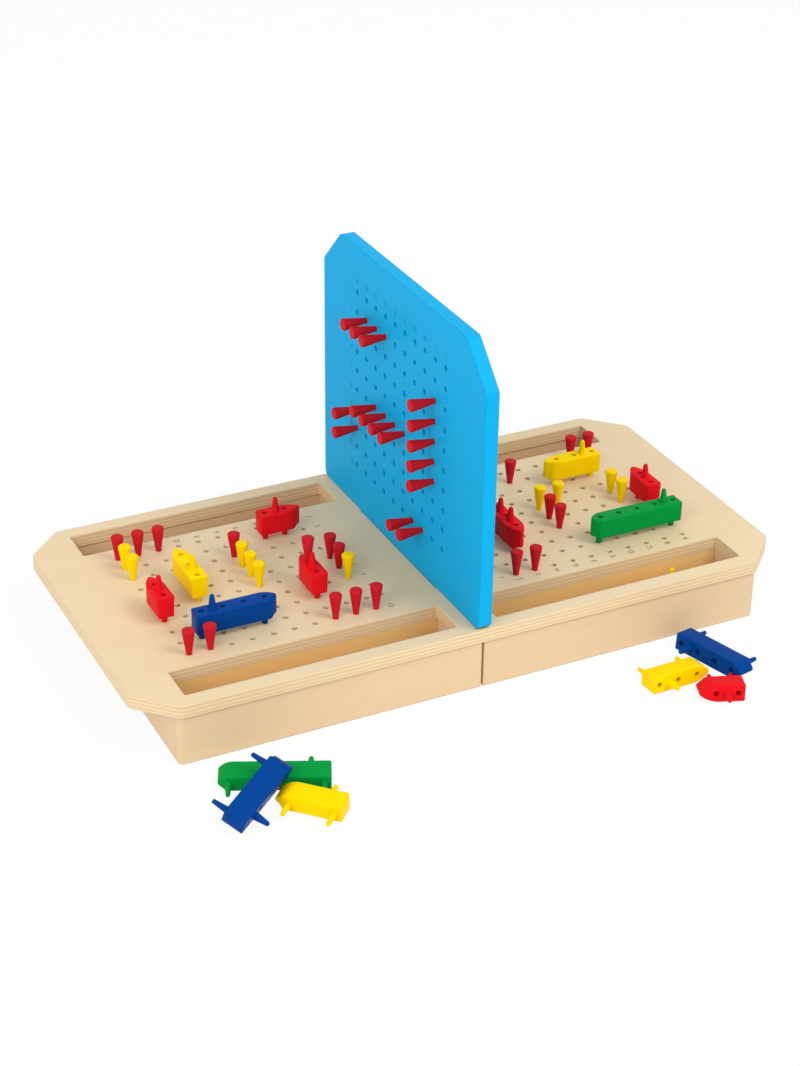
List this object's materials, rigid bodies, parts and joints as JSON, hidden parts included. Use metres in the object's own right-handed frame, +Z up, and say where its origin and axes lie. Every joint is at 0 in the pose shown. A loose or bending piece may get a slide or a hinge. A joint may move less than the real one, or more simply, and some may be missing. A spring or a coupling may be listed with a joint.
{
  "type": "fleet guessing game case",
  "caption": "Two-player fleet guessing case: plywood peg-hole board on open trays, upright scoring divider, plug-in toy ships and tapered pegs.",
  "frame": {"origin": "bottom centre of the box around the whole set, loose ships included; the case's own middle is at Y = +53.3 mm", "axes": "+X along the case from the seat facing the scored pegs to the other seat, +Y to the back, +Z up"},
  "size_m": [0.5, 0.3605, 0.2563],
  "materials": {
    "birch_ply": "clear-lacquered birch plywood, visible plies on the edges",
    "rail_wood": "clear-lacquered light wood",
    "sky_blue_paint": "sky blue painted plywood, satin",
    "red_plastic": "moulded, gloss",
    "yellow_plastic": "moulded, gloss",
    "blue_plastic": "moulded, gloss",
    "green_plastic": "moulded, gloss"
  },
  "bodies": {
    "case": {"top_board": "birch_ply", "left_front_rail": "rail_wood", "left_back_rail": "rail_wood", "left_end_rail": "rail_wood", "left_inner_rail": "rail_wood", "left_front_trough_wall": "rail_wood", "left_back_trough_wall": "rail_wood", "left_bottom_panel": "birch_ply", "right_front_rail": "rail_wood", "right_back_rail": "rail_wood", "right_end_rail": "rail_wood", "right_inner_rail": "rail_wood", "right_front_trough_wall": "rail_wood", "right_back_trough_wall": "rail_wood", "right_bottom_panel": "birch_ply"},
    "divider": {"divider_panel": "sky_blue_paint"},
    "left_yellow_cruiser": {"left_yellow_cruiser": "yellow_plastic"},
    "left_red_boat_outer": {"left_red_boat_outer": "red_plastic"},
    "left_red_boat_back": {"left_red_boat_back": "red_plastic"},
    "left_red_boat_hit": {"left_red_boat_hit": "red_plastic"},
    "left_blue_battleship": {"left_blue_battleship": "blue_plastic"},
    "right_yellow_cruiser": {"right_yellow_cruiser": "yellow_plastic"},
    "right_green_carrier": {"right_green_carrier": "green_plastic"},
    "right_red_boat_outer": {"right_red_boat_outer": "red_plastic"},
    "right_red_two_master": {"right_red_two_master": "red_plastic"},
    "stored_yellow_cruiser": {"stored_yellow_cruiser": "yellow_plastic"},
    "near_green_carrier": {"near_green_carrier": "green_plastic"},
    "near_yellow_cruiser": {"near_yellow_cruiser": "yellow_plastic"},
    "near_blue_battleship": {"near_blue_battleship": "blue_plastic"},
    "far_blue_battleship": {"far_blue_battleship": "blue_plastic"},
    "far_yellow_cruiser": {"far_yellow_cruiser": "yellow_plastic"},
    "far_red_boat": {"far_red_boat": "red_plastic"},
    "left_peg_in_ship": {"left_peg_in_ship": "red_plastic"},
    "left_pegs_back_corner": {"left_pegs_back_corner": "red_plastic"},
    "left_peg_centre": {"left_peg_centre": "red_plastic"},
    "left_pegs_end_yellow": {"left_pegs_end_yellow": "yellow_plastic"},
    "left_pegs_centre_yellow": {"left_pegs_centre_yellow": "yellow_plastic"},
    "left_pegs_divider_side": {"left_pegs_divider_side": "red_plastic"},
    "left_peg_divider_yellow": {"left_peg_divider_yellow": "yellow_plastic"},
    "left_pegs_front_corner": {"left_pegs_front_corner": "red_plastic"},
    "left_pegs_front_row": {"left_pegs_front_row": "red_plastic"},
    "right_peg_back": {"right_peg_back": "red_plastic"},
    "right_pegs_centre": {"right_pegs_centre": "red_plastic"},
    "right_pegs_front_corner": {"right_pegs_front_corner": "red_plastic"},
    "right_pegs_back_row": {"right_pegs_back_row": "red_plastic"},
    "right_pegs_outer_yellow": {"right_pegs_outer_yellow": "yellow_plastic"},
    "right_pegs_centre_yellow": {"right_pegs_centre_yellow": "yellow_plastic"},
    "divider_pegs_top_row": {"divider_pegs_top_row": "red_plastic"},
    "divider_pegs_back_column": {"divider_pegs_back_column": "red_plastic"},
    "divider_pegs_middle_row": {"divider_pegs_middle_row": "red_plastic"},
    "divider_pegs_front_column": {"divider_pegs_front_column": "red_plastic"},
    "divider_pegs_bottom_row": {"divider_pegs_bottom_row": "red_plastic"}
  },
  "joints": [
    {"name": "divider_lift", "type": "slide", "parent": "case", "child": "divider", "axis": [0, 0, 1], "range_m": [0, 0.06]},
    {"name": "left_yellow_cruiser_lift", "type": "slide", "parent": "case", "child": "left_yellow_cruiser", "axis": [0, 0, 1], "range_m": [0, 0.03]},
    {"name": "left_red_boat_outer_lift", "type": "slide", "parent": "case", "child": "left_red_boat_outer", "axis": [0, 0, 1], "range_m": [0, 0.03]},
    {"name": "left_red_boat_back_lift", "type": "slide", "parent": "case", "child": "left_red_boat_back", "axis": [0, 0, 1], "range_m": [0, 0.03]},
    {"name": "left_red_boat_hit_lift", "type": "slide", "parent": "case", "child": "left_red_boat_hit", "axis": [0, 0, 1], "range_m": [0, 0.03]},
    {"name": "left_blue_battleship_lift", "type": "slide", "parent": "case", "child": "left_blue_battleship", "axis": [0, 0, 1], "range_m": [0, 0.03]},
    {"name": "right_yellow_cruiser_lift", "type": "slide", "parent": "case", "child": "right_yellow_cruiser", "axis": [0, 0, 1], "range_m": [0, 0.03]},
    {"name": "right_green_carrier_lift", "type": "slide", "parent": "case", "child": "right_green_carrier", "axis": [0, 0, 1], "range_m": [0, 0.03]},
    {"name": "right_red_boat_outer_lift", "type": "slide", "parent": "case", "child": "right_red_boat_outer", "axis": [0, 0, 1], "range_m": [0, 0.03]},
    {"name": "right_red_two_master_lift", "type": "slide", "parent": "case", "child": "right_red_two_master", "axis": [0, 0, 1], "range_m": [0, 0.03]},
    {"name": "stored_yellow_cruiser_lift", "type": "slide", "parent": "case", "child": "stored_yellow_cruiser", "axis": [0, 0, 1], "range_m": [0, 0.03]},
    {"name": "near_green_carrier_lift", "type": "slide", "parent": "case", "child": "near_green_carrier", "axis": [0, 0, 1], "range_m": [0, 0.03]},
    {"name": "near_yellow_cruiser_slide", "type": "slide", "parent": "case", "child": "near_yellow_cruiser", "axis": [0.7132, -0.7009, 0], "range_m": [0, 0.03]},
    {"name": "near_blue_battleship_lift", "type": "slide", "parent": "near_green_carrier", "child": "near_blue_battleship", "axis": [0, 0, 1], "range_m": [0, 0.03]},
    {"name": "far_blue_battleship_lift", "type": "slide", "parent": "case", "child": "far_blue_battleship", "axis": [0, 0, 1], "range_m": [0, 0.03]},
    {"name": "far_yellow_cruiser_lift", "type": "slide", "parent": "case", "child": "far_yellow_cruiser", "axis": [0, 0, 1], "range_m": [0, 0.03]},
    {"name": "far_red_boat_lift", "type": "slide", "parent": "case", "child": "far_red_boat", "axis": [0, 0, 1], "range_m": [0, 0.03]},
    {"name": "left_peg_in_ship_lift", "type": "slide", "parent": "left_red_boat_hit", "child": "left_peg_in_ship", "axis": [0, 0, 1], "range_m": [0, 0.03]},
    {"name": "left_pegs_back_corner_lift", "type": "slide", "parent": "case", "child": "left_pegs_back_corner", "axis": [0, 0, 1], "range_m": [0, 0.03]},
    {"name": "left_peg_centre_lift", "type": "slide", "parent": "case", "child": "left_peg_centre", "axis": [0, 0, 1], "range_m": [0, 0.03]},
    {"name": "left_pegs_end_yellow_lift", "type": "slide", "parent": "case", "child": "left_pegs_end_yellow", "axis": [0, 0, 1], "range_m": [0, 0.03]},
    {"name": "left_pegs_centre_yellow_lift", "type": "slide", "parent": "case", "child": "left_pegs_centre_yellow", "axis": [0, 0, 1], "range_m": [0, 0.03]},
    {"name": "left_pegs_divider_side_lift", "type": "slide", "parent": "case", "child": "left_pegs_divider_side", "axis": [0, 0, 1], "range_m": [0, 0.03]},
    {"name": "left_peg_divider_yellow_lift", "type": "slide", "parent": "case", "child": "left_peg_divider_yellow", "axis": [0, 0, 1], "range_m": [0, 0.03]},
    {"name": "left_pegs_front_corner_lift", "type": "slide", "parent": "case", "child": "left_pegs_front_corner", "axis": [0, 0, 1], "range_m": [0, 0.03]},
    {"name": "left_pegs_front_row_lift", "type": "slide", "parent": "case", "child": "left_pegs_front_row", "axis": [0, 0, 1], "range_m": [0, 0.03]},
    {"name": "right_peg_back_lift", "type": "slide", "parent": "case", "child": "right_peg_back", "axis": [0, 0, 1], "range_m": [0, 0.03]},
    {"name": "right_pegs_centre_lift", "type": "slide", "parent": "case", "child": "right_pegs_centre", "axis": [0, 0, 1], "range_m": [0, 0.03]},
    {"name": "right_pegs_front_corner_lift", "type": "slide", "parent": "case", "child": "right_pegs_front_corner", "axis": [0, 0, 1], "range_m": [0, 0.03]},
    {"name": "right_pegs_back_row_lift", "type": "slide", "parent": "case", "child": "right_pegs_back_row", "axis": [0, 0, 1], "range_m": [0, 0.03]},
    {"name": "right_pegs_outer_yellow_lift", "type": "slide", "parent": "case", "child": "right_pegs_outer_yellow", "axis": [0, 0, 1], "range_m": [0, 0.03]},
    {"name": "right_pegs_centre_yellow_lift", "type": "slide", "parent": "case", "child": "right_pegs_centre_yellow", "axis": [0, 0, 1], "range_m": [0, 0.03]},
    {"name": "divider_pegs_top_row_pull", "type": "slide", "parent": "divider", "child": "divider_pegs_top_row", "axis": [-1, 0, 0], "range_m": [0, 0.03]},
    {"name": "divider_pegs_back_column_pull", "type": "slide", "parent": "divider", "child": "divider_pegs_back_column", "axis": [-1, 0, 0], "range_m": [0, 0.03]},
    {"name": "divider_pegs_middle_row_pull", "type": "slide", "parent": "divider", "child": "divider_pegs_middle_row", "axis": [-1, 0, 0], "range_m": [0, 0.03]},
    {"name": "divider_pegs_front_column_pull", "type": "slide", "parent": "divider", "child": "divider_pegs_front_column", "axis": [-1, 0, 0], "range_m": [0, 0.03]},
    {"name": "divider_pegs_bottom_row_pull", "type": "slide", "parent": "divider", "child": "divider_pegs_bottom_row", "axis": [-1, 0, 0], "range_m": [0, 0.03]}
  ]
}
